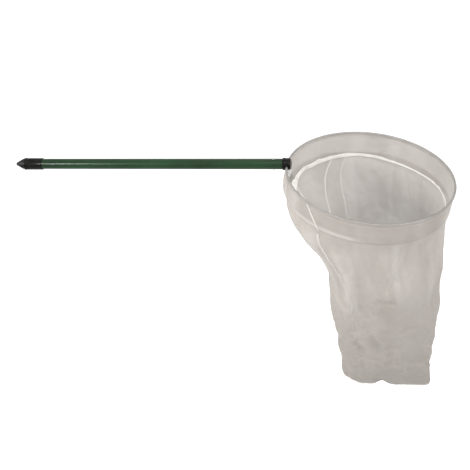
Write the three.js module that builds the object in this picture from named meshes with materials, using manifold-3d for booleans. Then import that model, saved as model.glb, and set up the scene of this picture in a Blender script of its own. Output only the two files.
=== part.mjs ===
// Hand net for catching birds: a coated tube handle, a round wire hoop and a hanging net bag.
// Millimetres, +Z up. The origin is where the hand holds the handle, +X points at the hoop.

import * as THREE from 'three';
import { mergeVertices } from 'three/addons/utils/BufferGeometryUtils.js';
import Module from 'manifold-3d';

// Handle sizes
const GRIP_TO_TUBE_FRONT = 435;
const TUBE_LENGTH = 561;
const TUBE_DIAMETER = 22;
const TUBE_WALL = 1.2;
const CAP_WALL = 1.2;
const CAP_SLEEVE_LENGTH = 40;
const CAP_NOSE_LENGTH = 21;
const CAP_TIP_RADIUS = 3;
const CAP_BEAD_WIDTH = 3;
const CAP_BEAD_PROUD = 0.5;
const CAP_NOSE_FULLNESS = 1.25;

// Front plug and its rivet
const PLUG_SPIGOT_LENGTH = 45;
const PLUG_HEAD_LENGTH = 16;
const PLUG_HEAD_PROUD = 1.2;
const PLUG_COLLAR_WIDTH = 4;
const PLUG_COLLAR_PROUD = 0.6;
const PLUG_CHAMFER = 2.5;
const RIVET_SETBACK = 19;
const RIVET_DIAMETER = 3.2;
const RIVET_BORE = 1.4;
const RIVET_HEAD_DIAMETER = 6;
const RIVET_HEAD_HEIGHT = 0.9;

// Hoop sizes
const HOOP_DIAMETER = 339;
const HOOP_DROOP_DEGREES = 9.4;
const HOOP_AHEAD_OF_TUBE = 9;
const WIRE_DIAMETER = 4;
const SHANK_LENGTH = 40;
const SHANK_SPREAD = 10;
const BEND_RADIUS = 8;

// Collar and hem sizes
const COLLAR_HEIGHT = 55;
const COLLAR_TAPER = 2.3;
const PLY_THICKNESS = 0.8;
const PLY_SPACING = 0.8;
const CASING_DEPTH = 9;
const COLLAR_END_GAP = 30;
const HEM_HEIGHT = 7.5;
const HEM_THICKNESS = 2.6;
const TAPE_WIDTH = 44;
const TAPE_THICKNESS = 1.2;
const TAPE_TOP_DROP = 14;

// Bag sizes
const BAG_DEPTH = 511;
const BAG_WALL = 1;
const BAG_TUCK = 30;
const SIDE_SEAM_TURN_DEGREES = 60;
const SIDE_SEAM_WIDTH = 6;
const SIDE_SEAM_THICKNESS = 1;
const SIDE_SEAM_START = 0.09;
const BOTTOM_SEAM_HEIGHT = 5;
const BOTTOM_SEAM_WIDTH = 3;

// Clearances
const FIT_GAP = 0.3;
const SWING_GAP = 0.5;

// Counts of facets
const HANDLE_SIDES = 40;
const RIVET_SIDES = 24;
const NOSE_STEPS = 8;
const FOLD_STEPS = 6;
const TAPE_STEPS = 6;
const WIRE_SIDES = 8;
const HOOP_STEPS = 72;
const BEND_STEPS = 6;
const BAG_SIDES = 56;
const BAG_RINGS = 22;
const TUCK_RINGS = 3;
const SEAM_STEP_RADIANS = 0.01;
const MERGE_DISTANCE = 1e-4;
const BORE_OVERLAP = 1;

// The bag's shape below the hem, as shares of its top radius (reach, width) and of its depth (drop).
// Each row is one ring: rear reach, rear drop, front reach, front drop, half width.
const BAG_RINGS_BY_SHARE = [
  [0.995, 0.004, 0.950, 0.091, 0.960],
  [0.870, 0.091, 0.930, 0.159, 0.928],
  [0.685, 0.178, 0.920, 0.236, 0.905],
  [0.578, 0.266, 0.915, 0.314, 0.890],
  [0.530, 0.343, 0.882, 0.380, 0.838],
  [0.546, 0.430, 0.865, 0.453, 0.770],
  [0.545, 0.566, 0.855, 0.578, 0.650],
  [0.505, 0.721, 0.815, 0.725, 0.490],
  [0.467, 0.857, 0.773, 0.857, 0.318],
  [0.430, 0.953, 0.755, 0.953, 0.146],
  [0.372, 0.984, 0.748, 0.983, 0.067],
  [0.340, 1.000, 0.739, 1.000, 0.015],
];

// Sizes that follow from the ones above
const TUBE_RADIUS = TUBE_DIAMETER / 2;
const TUBE_BORE_RADIUS = TUBE_RADIUS - TUBE_WALL;
const TUBE_REAR = GRIP_TO_TUBE_FRONT - TUBE_LENGTH;
const WIRE_RADIUS = WIRE_DIAMETER / 2;
const HOOP_RADIUS = HOOP_DIAMETER / 2;
const HOOP_START = GRIP_TO_TUBE_FRONT + HOOP_AHEAD_OF_TUBE;
const RIVET_X = GRIP_TO_TUBE_FRONT - RIVET_SETBACK;
const COLLAR_BOTTOM_RADIUS = HOOP_RADIUS - COLLAR_TAPER;
const PLY_OUTSET = PLY_SPACING / 2 + PLY_THICKNESS;
const HEM_TOP = -(COLLAR_HEIGHT - HEM_HEIGHT);
const HEM_MIDDLE = HEM_TOP - HEM_HEIGHT / 2;
const HEM_INNER_RADIUS = COLLAR_BOTTOM_RADIUS - PLY_OUTSET - FIT_GAP;
const BAG_TOP_RADIUS = HEM_INNER_RADIUS - SWING_GAP;

const wasm = await Module();
wasm.setup();

const materials = {
  coatedTube: new THREE.MeshStandardMaterial({ color: 0x2c4a34, roughness: 0.35, metalness: 0.2 }),
  blackPlastic: new THREE.MeshStandardMaterial({ color: 0x1c1c1a, roughness: 0.5, metalness: 0 }),
  zincSteel: new THREE.MeshStandardMaterial({ color: 0xa9adb0, roughness: 0.35, metalness: 1 }),
  hemTape: new THREE.MeshStandardMaterial({ color: 0xf0ebe4, roughness: 0.9, metalness: 0 }),
  netting: new THREE.MeshStandardMaterial({ color: 0xc4beb7, roughness: 0.95, metalness: 0 }),
};

// Geometry helpers

function signedVolume(geometry) {
  const position = geometry.attributes.position;
  const index = geometry.index;
  const [a, b, c] = [new THREE.Vector3(), new THREE.Vector3(), new THREE.Vector3()];
  let volume = 0;
  for (let i = 0; i < index.count; i += 3) {
    a.fromBufferAttribute(position, index.getX(i));
    b.fromBufferAttribute(position, index.getX(i + 1));
    c.fromBufferAttribute(position, index.getX(i + 2));
    volume += a.dot(b.cross(c)) / 6;
  }
  return volume;
}

// Turns every face outward, whichever way round the rings were joined.
function facingOut(geometry) {
  if (signedVolume(geometry) >= 0) {
    return geometry;
  }
  const index = Array.from(geometry.index.array);
  for (let i = 0; i < index.length; i += 3) {
    [index[i], index[i + 1]] = [index[i + 1], index[i]];
  }
  geometry.setIndex(index);
  return geometry;
}

function fromVerticesAndFaces(vertices, faces) {
  const geometry = new THREE.BufferGeometry();
  const coordinates = vertices.flatMap((vertex) => vertex.toArray());
  geometry.setAttribute('position', new THREE.Float32BufferAttribute(coordinates, 3));
  geometry.setIndex(faces.flat());
  return facingOut(geometry);
}

function joinRings(faces, ringA, ringB, count) {
  for (let i = 0; i < count; i += 1) {
    const next = (i + 1) % count;
    faces.push([ringA + i, ringA + next, ringB + next]);
    faces.push([ringA + i, ringB + next, ringB + i]);
  }
}

// The faces between rings of equal point counts. A closed loft joins the last ring to the first.
function loft(rings, closed) {
  const count = rings[0].length;
  const faces = [];
  for (let r = 0; r + 1 < rings.length; r += 1) {
    joinRings(faces, r * count, (r + 1) * count, count);
  }
  if (closed) {
    joinRings(faces, (rings.length - 1) * count, 0, count);
  }
  return { vertices: rings.flat(), faces };
}

function asManifold(geometry) {
  const bare = geometry.clone();
  bare.deleteAttribute('normal');
  bare.deleteAttribute('uv');
  const merged = mergeVertices(bare, MERGE_DISTANCE);
  return new wasm.Manifold(new wasm.Mesh({
    numProp: 3,
    vertProperties: new Float32Array(merged.attributes.position.array),
    triVerts: new Uint32Array(merged.index.array),
  }));
}

function asGeometry(solid) {
  const mesh = solid.getMesh();
  const geometry = new THREE.BufferGeometry();
  geometry.setAttribute('position', new THREE.BufferAttribute(new Float32Array(mesh.vertProperties), 3));
  geometry.setIndex(new THREE.BufferAttribute(new Uint32Array(mesh.triVerts), 1));
  return geometry;
}

// A turned solid whose profile is [distance along X, radius].
function turnedAboutX(profile, sides) {
  const points = profile.map(([x, radius]) => new THREE.Vector2(radius, x));
  return facingOut(new THREE.LatheGeometry(points, sides).rotateZ(-Math.PI / 2));
}

function addPart(parent, name, geometry, material) {
  const mesh = new THREE.Mesh(geometry, material);
  mesh.name = name;
  parent.add(mesh);
}

// Places: the hoop's plane droops from the plug, and the bag swings about the middle of the hem

const net = new THREE.Group();
const hoopPlane = new THREE.Group();
hoopPlane.position.set(HOOP_START, 0, 0);
hoopPlane.rotation.y = THREE.MathUtils.degToRad(HOOP_DROOP_DEGREES);
net.add(hoopPlane);
const hoopCentre = new THREE.Group();
hoopCentre.position.set(HOOP_RADIUS, 0, 0);
hoopPlane.add(hoopCentre);
net.updateMatrixWorld(true);

// Angles round the hoop start at the plug and run towards +Y.
function roundHoop(angle, radius, height) {
  return new THREE.Vector3(-radius * Math.cos(angle), radius * Math.sin(angle), height);
}

// A solid of one cross-section of [radius, height] points, carried round the hoop's centre.
function sweptRoundHoop(section, startAngle, endAngle, steps) {
  const closed = endAngle - startAngle > 2 * Math.PI - 1e-6;
  const ringCount = closed ? steps : steps + 1;
  const rings = [];
  for (let i = 0; i < ringCount; i += 1) {
    const angle = startAngle + (endAngle - startAngle) * i / steps;
    rings.push(section.map(([radius, height]) => roundHoop(angle, radius, height)));
  }
  const { vertices, faces } = loft(rings, closed);
  if (!closed) {
    const outline = section.map(([radius, height]) => new THREE.Vector2(radius, height));
    const last = (ringCount - 1) * section.length;
    for (const [a, b, c] of THREE.ShapeUtils.triangulateShape(outline, [])) {
      faces.push([c, b, a]);
      faces.push([last + a, last + b, last + c]);
    }
    if (THREE.ShapeUtils.isClockWise(outline)) {
      throw new Error('the cross-section has to run counter-clockwise');
    }
  }
  return fromVerticesAndFaces(vertices, faces);
}

// The wire's route: a shank in the plug, a bend out of its side, the hoop, and back the same way.
class HoopWireRoute extends THREE.Curve {
  constructor() {
    super();
    const shankY = SHANK_SPREAD / 2;
    const reach = HOOP_RADIUS + BEND_RADIUS;
    this.meetAngle = Math.asin((shankY + BEND_RADIUS) / reach);
    this.bendX = HOOP_START + HOOP_RADIUS - reach * Math.cos(this.meetAngle);
    this.shankY = shankY;
    this.steps = { shank: 2, bend: BEND_STEPS, hoop: HOOP_STEPS };
    this.totalSteps = 2 * this.steps.shank + 2 * this.steps.bend + this.steps.hoop;
  }

  // One half of the shank and bend, measured in steps from the shank's end inside the handle.
  rootPoint(step, side) {
    const { shank, bend } = this.steps;
    if (step <= shank) {
      return new THREE.Vector3(this.bendX - SHANK_LENGTH * (1 - step / shank), side * this.shankY, 0);
    }
    const turn = (Math.PI / 2 - this.meetAngle) * (step - shank) / bend;
    const x = this.bendX + BEND_RADIUS * Math.sin(turn);
    const y = this.shankY + BEND_RADIUS * (1 - Math.cos(turn));
    return new THREE.Vector3(x, side * y, 0);
  }

  getPoint(t) {
    const step = t * this.totalSteps;
    const rootSteps = this.steps.shank + this.steps.bend;
    if (step < rootSteps) {
      return this.rootPoint(step, 1);
    }
    if (step > this.totalSteps - rootSteps) {
      return this.rootPoint(this.totalSteps - step, -1);
    }
    const share = (step - rootSteps) / this.steps.hoop;
    const angle = this.meetAngle + (2 * Math.PI - 2 * this.meetAngle) * share;
    return hoopCentre.localToWorld(roundHoop(angle, HOOP_RADIUS, 0));
  }

  // Steps are counted, not measured along the wire, so that the bends get rings of their own.
  getPointAt(u) {
    return this.getPoint(u);
  }

  getTangentAt(u) {
    return this.getTangent(u);
  }
}

const wireRoute = new HoopWireRoute();

function wireSolid(radius) {
  const section = new THREE.Shape();
  for (let i = 0; i < WIRE_SIDES; i += 1) {
    const angle = 2 * Math.PI * i / WIRE_SIDES;
    const [x, y] = [radius * Math.cos(angle), radius * Math.sin(angle)];
    if (i === 0) {
      section.moveTo(x, y);
    } else {
      section.lineTo(x, y);
    }
  }
  section.closePath();
  return new THREE.ExtrudeGeometry(section, { steps: wireRoute.totalSteps, extrudePath: wireRoute });
}

// A cylinder across the handle, from bottom to top, at the rivet.
function rivetHole() {
  const radius = RIVET_DIAMETER / 2 + FIT_GAP;
  const hole = new THREE.CylinderGeometry(radius, radius, 2 * TUBE_DIAMETER, RIVET_SIDES);
  return asManifold(hole.rotateX(Math.PI / 2).translate(RIVET_X, 0, 0));
}

// Handle

function handleTube() {
  const tube = turnedAboutX([
    [TUBE_REAR, TUBE_BORE_RADIUS],
    [GRIP_TO_TUBE_FRONT, TUBE_BORE_RADIUS],
    [GRIP_TO_TUBE_FRONT, TUBE_RADIUS],
    [TUBE_REAR, TUBE_RADIUS],
    [TUBE_REAR, TUBE_BORE_RADIUS],
  ], HANDLE_SIDES);
  return asGeometry(asManifold(tube).subtract(rivetHole()));
}

function rearEndCap() {
  const bore = TUBE_RADIUS + FIT_GAP;
  const outside = bore + CAP_WALL;
  const floor = TUBE_REAR - FIT_GAP;
  const mouth = floor - CAP_WALL + CAP_SLEEVE_LENGTH;
  const shoulder = floor - CAP_WALL;
  const profile = [[floor, 0], [floor, bore], [mouth, bore]];
  const chamfer = CAP_WALL / 3;
  const bead = outside + CAP_BEAD_PROUD;
  const beadSlope = CAP_BEAD_WIDTH / 3;
  profile.push([mouth, outside - chamfer], [mouth - chamfer, outside]);
  profile.push([shoulder + CAP_BEAD_WIDTH, outside], [shoulder + CAP_BEAD_WIDTH - beadSlope, bead]);
  profile.push([shoulder + beadSlope, bead], [shoulder, outside]);
  for (let i = 1; i <= NOSE_STEPS; i += 1) {
    const share = i / NOSE_STEPS;
    const radius = CAP_TIP_RADIUS + (outside - CAP_TIP_RADIUS) * (1 - share ** CAP_NOSE_FULLNESS);
    profile.push([shoulder - (CAP_NOSE_LENGTH - CAP_TIP_RADIUS / 2) * share, radius]);
  }
  profile.push([shoulder - CAP_NOSE_LENGTH, CAP_TIP_RADIUS / 2], [shoulder - CAP_NOSE_LENGTH, 0]);
  return turnedAboutX(profile, HANDLE_SIDES);
}

// Front plug: a spigot in the tube and a head moulded round the bends of the wire

function frontPlug() {
  const spigot = TUBE_BORE_RADIUS - FIT_GAP;
  const head = TUBE_RADIUS + PLUG_HEAD_PROUD;
  const back = GRIP_TO_TUBE_FRONT + FIT_GAP;
  const rear = GRIP_TO_TUBE_FRONT - PLUG_SPIGOT_LENGTH;
  const front = back + PLUG_HEAD_LENGTH;
  const body = turnedAboutX([
    [rear, 0],
    [rear, spigot - PLUG_CHAMFER / 2],
    [rear + PLUG_CHAMFER, spigot],
    [back, spigot],
    [back, head + PLUG_COLLAR_PROUD],
    [back + PLUG_COLLAR_WIDTH, head + PLUG_COLLAR_PROUD],
    [back + PLUG_COLLAR_WIDTH + PLUG_COLLAR_PROUD, head],
    [front - PLUG_CHAMFER, head],
    [front, head - PLUG_CHAMFER],
    [front, 0],
  ], HANDLE_SIDES);
  const channel = asManifold(wireSolid(WIRE_RADIUS + FIT_GAP));
  const blindEndX = wireRoute.bendX - SHANK_LENGTH - PLUG_SPIGOT_LENGTH / 2 + BORE_OVERLAP;
  const bore = WIRE_RADIUS + FIT_GAP;
  const blindEnd = new THREE.CylinderGeometry(bore, bore, PLUG_SPIGOT_LENGTH, WIRE_SIDES);
  blindEnd.rotateX(Math.PI / 2).rotateY(Math.PI / 2);
  let plug = asManifold(body).subtract(channel).subtract(rivetHole());
  for (const side of [-1, 1]) {
    const hole = blindEnd.clone().translate(blindEndX, side * wireRoute.shankY, 0);
    plug = plug.subtract(asManifold(hole));
  }
  return asGeometry(plug);
}

function plugRivet() {
  const shank = RIVET_DIAMETER / 2;
  const bore = RIVET_BORE / 2;
  const seat = TUBE_RADIUS + FIT_GAP;
  const head = RIVET_HEAD_DIAMETER / 2;
  const top = seat + RIVET_HEAD_HEIGHT;
  const profile = [
    [bore, -top], [head - RIVET_HEAD_HEIGHT / 2, -top], [head, -seat], [shank, -seat],
    [shank, seat], [head, seat], [head - RIVET_HEAD_HEIGHT / 2, top], [bore, top], [bore, -top],
  ];
  const points = profile.map(([radius, height]) => new THREE.Vector2(radius, height));
  const rivet = new THREE.LatheGeometry(points, RIVET_SIDES).rotateX(Math.PI / 2);
  return facingOut(rivet.translate(RIVET_X, 0, 0));
}

// Collar: one band of cloth folded over the wire, its two plies stitched together under it

function collarSection() {
  const inside = WIRE_RADIUS + FIT_GAP;
  const outside = inside + PLY_THICKNESS;
  const bottom = HEM_TOP + FIT_GAP;
  const lean = (height) => HOOP_RADIUS - COLLAR_TAPER * Math.max(0, -height - CASING_DEPTH)
    / (-bottom - CASING_DEPTH);
  const over = (radius, fromOutside) => {
    const points = [];
    for (let i = 0; i <= FOLD_STEPS; i += 1) {
      const angle = Math.PI * (fromOutside ? i : FOLD_STEPS - i) / FOLD_STEPS;
      points.push([HOOP_RADIUS + radius * Math.cos(angle), radius * Math.sin(angle)]);
    }
    return points;
  };
  const gap = PLY_SPACING / 2;
  return [
    [lean(bottom) + gap, bottom],
    [lean(bottom) + PLY_OUTSET, bottom],
    [HOOP_RADIUS + PLY_OUTSET, -CASING_DEPTH],
    ...over(outside, true),
    [HOOP_RADIUS - PLY_OUTSET, -CASING_DEPTH],
    [lean(bottom) - PLY_OUTSET, bottom],
    [lean(bottom) - gap, bottom],
    [HOOP_RADIUS - gap, -CASING_DEPTH],
    ...over(inside, false),
    [HOOP_RADIUS + gap, -CASING_DEPTH],
  ];
}

function rimCollar() {
  const start = Math.asin(COLLAR_END_GAP / 2 / HOOP_RADIUS);
  return sweptRoundHoop(collarSection(), start, 2 * Math.PI - start, HOOP_STEPS);
}

// The tape that closes the collar under the plug, where its two ends meet
function collarJointTape() {
  const half = Math.asin(TAPE_WIDTH / 2 / HOOP_RADIUS);
  const inner = HOOP_RADIUS + PLY_OUTSET + FIT_GAP;
  const outer = inner + TAPE_THICKNESS;
  const bottom = HEM_TOP + FIT_GAP;
  const section = [
    [inner - COLLAR_TAPER, bottom],
    [outer - COLLAR_TAPER, bottom],
    [outer, -TAPE_TOP_DROP],
    [inner, -TAPE_TOP_DROP],
  ];
  return sweptRoundHoop(section, -half, half, TAPE_STEPS);
}

function collarHem() {
  const outer = HEM_INNER_RADIUS + HEM_THICKNESS;
  const section = [
    [HEM_INNER_RADIUS, HEM_TOP - HEM_HEIGHT],
    [outer, HEM_TOP - HEM_HEIGHT],
    [outer, HEM_TOP],
    [HEM_INNER_RADIUS, HEM_TOP],
  ];
  return sweptRoundHoop(section, 0, 2 * Math.PI, HOOP_STEPS);
}

// Bag: its own frame has its origin at the middle of the hem, where it swings

const bag = new THREE.Group();
bag.position.copy(hoopCentre.localToWorld(new THREE.Vector3(0, 0, HEM_MIDDLE)));
net.add(bag);

const droop = THREE.MathUtils.degToRad(HOOP_DROOP_DEGREES);
const alongHoop = new THREE.Vector3(Math.cos(droop), 0, -Math.sin(droop));
const hoopNormal = new THREE.Vector3(Math.sin(droop), 0, Math.cos(droop));

// A ring from its rear and front points and its half width. The angle starts at the rear.
function bagRingPoint(ring, angle, inset) {
  const middle = ring.rear.clone().add(ring.front).multiplyScalar(0.5);
  const along = ring.front.clone().sub(ring.rear).multiplyScalar(0.5);
  const length = along.length();
  along.multiplyScalar((length - inset) / length);
  const point = middle.addScaledVector(along, -Math.cos(angle));
  point.y += (ring.halfWidth - inset) * Math.sin(angle);
  return point;
}

// The tuck inside the collar is part of a ball, so that it slides along the hem as the bag swings.
function tuckRing(height) {
  const radius = Math.sqrt(BAG_TOP_RADIUS ** 2 - height ** 2);
  const rise = hoopNormal.clone().multiplyScalar(height);
  return {
    rear: alongHoop.clone().multiplyScalar(-radius).add(rise),
    front: alongHoop.clone().multiplyScalar(radius).add(rise),
    halfWidth: radius,
  };
}

const ringRows = BAG_RINGS_BY_SHARE.map(([rearReach, rearDrop, frontReach, frontDrop, halfWidth]) => ({
  rear: new THREE.Vector2(-rearReach * BAG_TOP_RADIUS, -rearDrop * BAG_DEPTH),
  front: new THREE.Vector2(frontReach * BAG_TOP_RADIUS, -frontDrop * BAG_DEPTH),
  halfWidth: halfWidth * BAG_TOP_RADIUS,
}));
const mouthRing = tuckRing(0);
const rearCurve = new THREE.SplineCurve([
  new THREE.Vector2(mouthRing.rear.x, mouthRing.rear.z),
  ...ringRows.map((row) => row.rear),
]);
const frontCurve = new THREE.SplineCurve([
  new THREE.Vector2(mouthRing.front.x, mouthRing.front.z),
  ...ringRows.map((row) => row.front),
]);
const widthCurve = new THREE.SplineCurve([
  new THREE.Vector2(0, mouthRing.halfWidth),
  ...ringRows.map((row, i) => new THREE.Vector2(i + 1, row.halfWidth)),
]);

// A ring of the hanging part, at a share from the hem (0) to the bottom (1)
function hangingRing(share) {
  const rear = rearCurve.getPoint(share);
  const front = frontCurve.getPoint(share);
  return {
    rear: new THREE.Vector3(rear.x, 0, rear.y),
    front: new THREE.Vector3(front.x, 0, front.y),
    halfWidth: widthCurve.getPoint(share).y,
  };
}

function bagRings(endShare) {
  const rings = [];
  for (let i = TUCK_RINGS; i > 0; i -= 1) {
    rings.push(tuckRing(BAG_TUCK * i / TUCK_RINGS));
  }
  for (let i = 0; i <= BAG_RINGS; i += 1) {
    rings.push(hangingRing(endShare * i / BAG_RINGS));
  }
  return rings;
}

function ringPoints(ring, inset) {
  const points = [];
  for (let i = 0; i < BAG_SIDES; i += 1) {
    points.push(bagRingPoint(ring, 2 * Math.PI * i / BAG_SIDES, inset));
  }
  return points;
}

function middleOf(points) {
  const sum = new THREE.Vector3();
  for (const point of points) {
    sum.add(point);
  }
  return sum.divideScalar(points.length);
}

function bagBody() {
  const innerEnd = 1 - 4 * BAG_WALL / BAG_DEPTH;
  const outer = bagRings(1).map((ring) => ringPoints(ring, 0));
  const inner = bagRings(innerEnd).map((ring) => ringPoints(ring, BAG_WALL));
  const bottom = outer.at(-1);
  const floor = inner.at(-1);
  const { vertices, faces } = loft([...outer.reverse(), ...inner], false);
  const floorStart = vertices.length - BAG_SIDES;
  vertices.push(middleOf(bottom), middleOf(floor));
  for (let i = 0; i < BAG_SIDES; i += 1) {
    const next = (i + 1) % BAG_SIDES;
    faces.push([vertices.length - 2, next, i]);
    faces.push([vertices.length - 1, floorStart + i, floorStart + next]);
  }
  return fromVerticesAndFaces(vertices, faces);
}

// The felled seam down the handle side of the bag
function bagSideSeam() {
  const turn = -THREE.MathUtils.degToRad(SIDE_SEAM_TURN_DEGREES);
  const rings = [];
  for (let i = 0; i <= BAG_RINGS; i += 1) {
    const share = i / BAG_RINGS;
    if (share < SIDE_SEAM_START) {
      continue;
    }
    const ring = hangingRing(share);
    const centre = bagRingPoint(ring, turn, 0);
    const ahead = bagRingPoint(ring, turn + SEAM_STEP_RADIANS, 0);
    const across = ahead.sub(centre).normalize().multiplyScalar(SIDE_SEAM_WIDTH / 2);
    const out = new THREE.Vector3(0, 0, 1).cross(across).normalize();
    if (out.dot(centre.clone().sub(bagRingPoint(ring, turn + Math.PI, 0))) < 0) {
      out.negate();
    }
    const near = centre.clone().addScaledVector(out, FIT_GAP);
    const far = near.clone().addScaledVector(out, SIDE_SEAM_THICKNESS);
    rings.push([
      near.clone().sub(across), near.clone().add(across),
      far.clone().add(across), far.clone().sub(across),
    ]);
  }
  const { vertices, faces } = loft(rings, false);
  const last = vertices.length - 4;
  faces.push([2, 1, 0], [3, 2, 0], [last, last + 1, last + 2], [last, last + 2, last + 3]);
  return fromVerticesAndFaces(vertices, faces);
}

// The bound edge along the bottom
function bagBottomSeam() {
  const ring = hangingRing(1);
  const top = ring.rear.z - FIT_GAP;
  const length = ring.front.x - ring.rear.x;
  const edge = BOTTOM_SEAM_WIDTH / 4;
  const half = BOTTOM_SEAM_WIDTH / 2;
  const section = new THREE.Shape([
    new THREE.Vector2(-half + edge, -BOTTOM_SEAM_HEIGHT),
    new THREE.Vector2(half - edge, -BOTTOM_SEAM_HEIGHT),
    new THREE.Vector2(half, -BOTTOM_SEAM_HEIGHT + edge),
    new THREE.Vector2(half, 0),
    new THREE.Vector2(-half, 0),
    new THREE.Vector2(-half, -BOTTOM_SEAM_HEIGHT + edge),
  ]);
  const geometry = new THREE.ExtrudeGeometry(section, { depth: length, bevelEnabled: false });
  geometry.rotateX(Math.PI / 2).rotateZ(Math.PI / 2);
  return geometry.translate(ring.rear.x, 0, top);
}

addPart(net, 'handle_tube', handleTube(), materials.coatedTube);
addPart(net, 'rear_end_cap', rearEndCap(), materials.blackPlastic);
addPart(net, 'front_plug', frontPlug(), materials.blackPlastic);
addPart(net, 'plug_rivet', plugRivet(), materials.zincSteel);
addPart(net, 'hoop_wire', wireSolid(WIRE_RADIUS), materials.zincSteel);
addPart(hoopCentre, 'rim_collar', rimCollar(), materials.netting);
addPart(hoopCentre, 'collar_joint_tape', collarJointTape(), materials.hemTape);
addPart(hoopCentre, 'collar_hem', collarHem(), materials.hemTape);
addPart(bag, 'bag_body', bagBody(), materials.netting);
addPart(bag, 'bag_side_seam', bagSideSeam(), materials.netting);
addPart(bag, 'bag_bottom_seam', bagBottomSeam(), materials.netting);

export default net;
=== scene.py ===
"""Bird catching net: a coated tube handle, a sprung wire hoop, a netting collar and a netting bag.

Lengths are in metres, in the frame of the CAD model: the handle runs along +X, the origin is at the
hand grip and +Z is up. The collar and hem stay with the hoop, and the bag hangs under them.
"""

import logging
import math
from bisect import bisect_right
from dataclasses import dataclass, field
from enum import Enum
from typing import Callable, Sequence

import bmesh
import bpy
from mathutils import Matrix, Vector, noise

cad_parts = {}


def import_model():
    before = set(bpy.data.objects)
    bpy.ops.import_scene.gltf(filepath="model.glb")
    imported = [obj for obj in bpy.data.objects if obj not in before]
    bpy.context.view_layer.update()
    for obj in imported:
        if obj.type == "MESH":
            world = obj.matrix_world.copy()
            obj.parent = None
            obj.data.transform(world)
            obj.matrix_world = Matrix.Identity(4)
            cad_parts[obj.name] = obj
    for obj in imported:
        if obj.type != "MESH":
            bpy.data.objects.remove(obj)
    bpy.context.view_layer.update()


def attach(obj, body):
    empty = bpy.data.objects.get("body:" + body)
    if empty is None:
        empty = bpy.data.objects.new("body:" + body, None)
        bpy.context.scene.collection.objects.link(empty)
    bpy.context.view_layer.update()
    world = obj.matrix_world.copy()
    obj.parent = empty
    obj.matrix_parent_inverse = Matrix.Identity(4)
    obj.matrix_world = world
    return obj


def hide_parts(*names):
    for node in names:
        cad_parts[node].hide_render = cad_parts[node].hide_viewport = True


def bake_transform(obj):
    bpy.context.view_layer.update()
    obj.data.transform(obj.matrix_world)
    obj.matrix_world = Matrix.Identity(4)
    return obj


log = logging.getLogger("bird_net")

Colour = tuple[float, float, float]
Outline = Sequence[tuple[float, float]]

FOLD_LAYER = "pressed_fold"
DRIFT_PLACES = ((9.3, -1.5, -7.9), (0.0, 0.0, 0.0), (5.1, 7.7, -3.1))
MERGE_DISTANCE = 1e-6


class Body(Enum):
    """The bodies of the CAD model."""

    FRAME = "frame"
    BAG = "bag"


class Slot(Enum):
    """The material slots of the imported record."""

    TUBE = "tube_coat"
    CAP = "cap_plastic"
    PLUG = "plug_plastic"
    RIVET = "rivet_metal"
    WIRE = "wire_metal"
    COLLAR = "collar_netting"
    BAG = "bag_netting"
    SEAM = "seam_netting"
    TAPE = "hem_tape"


class Axis(Enum):
    """The axis that a turned piece is spun about."""

    HANDLE = (1.0, 0.0, 0.0)
    UPRIGHT = (0.0, 0.0, 1.0)


# Small helpers for shapes


def smoothstep(low: float, high: float, value: float) -> float:
    """Returns 0 below low, 1 above high, and a smooth rise between."""
    share = min(1.0, max(0.0, (value - low) / (high - low)))
    return share * share * (3.0 - 2.0 * share)


def drift(point: Vector) -> Vector:
    """Finds a smooth offset for a point, from -1 to 1 along each axis, the same each run."""
    return Vector([noise.noise(point + Vector(place)) for place in DRIFT_PLACES])


def bump_at(centre: float, width: float, value: float) -> float:
    """Returns a bell that is 1 at centre and falls off over width."""
    return math.exp(-(((value - centre) / width) ** 2))


def spline(points: Sequence[Sequence[float]], share: float) -> list[float]:
    """Finds a point on a smooth line through evenly counted points.

    Args:
        points: The points of the line, each with any number of values.
        share: The place along the line, from 0 at the first point to 1 at the last.

    Returns:
        The values there.
    """
    last = len(points) - 1
    place = share * last
    here = min(int(place), last - 1)
    w = place - here
    before = points[max(here - 1, 0)]
    start, end = points[here], points[here + 1]
    after = points[min(here + 2, last)]
    found = []
    for a, b, c, d in zip(before, start, end, after):
        rise, fall = (c - a) / 2, (d - b) / 2
        cubic = 2 * b - 2 * c + rise + fall
        square = -3 * b + 3 * c - 2 * rise - fall
        found.append(cubic * w**3 + square * w**2 + rise * w + b)
    return found


def finished(name: str, mesh: bmesh.types.BMesh, sharp: float = 40.0) -> bpy.types.Object:
    """Turns a bmesh into a smooth-shaded object at the origin.

    Args:
        name: The piece's name.
        mesh: The bmesh, which is freed.
        sharp: The angle in degrees above which an edge stays sharp.

    Returns:
        The new object, linked to the scene.
    """
    data = bpy.data.meshes.new(name)
    mesh.to_mesh(data)
    mesh.free()
    data.shade_smooth()
    data.set_sharp_from_angle(angle=math.radians(sharp))
    piece = bpy.data.objects.new(name, data)
    bpy.context.scene.collection.objects.link(piece)
    return piece


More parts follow.
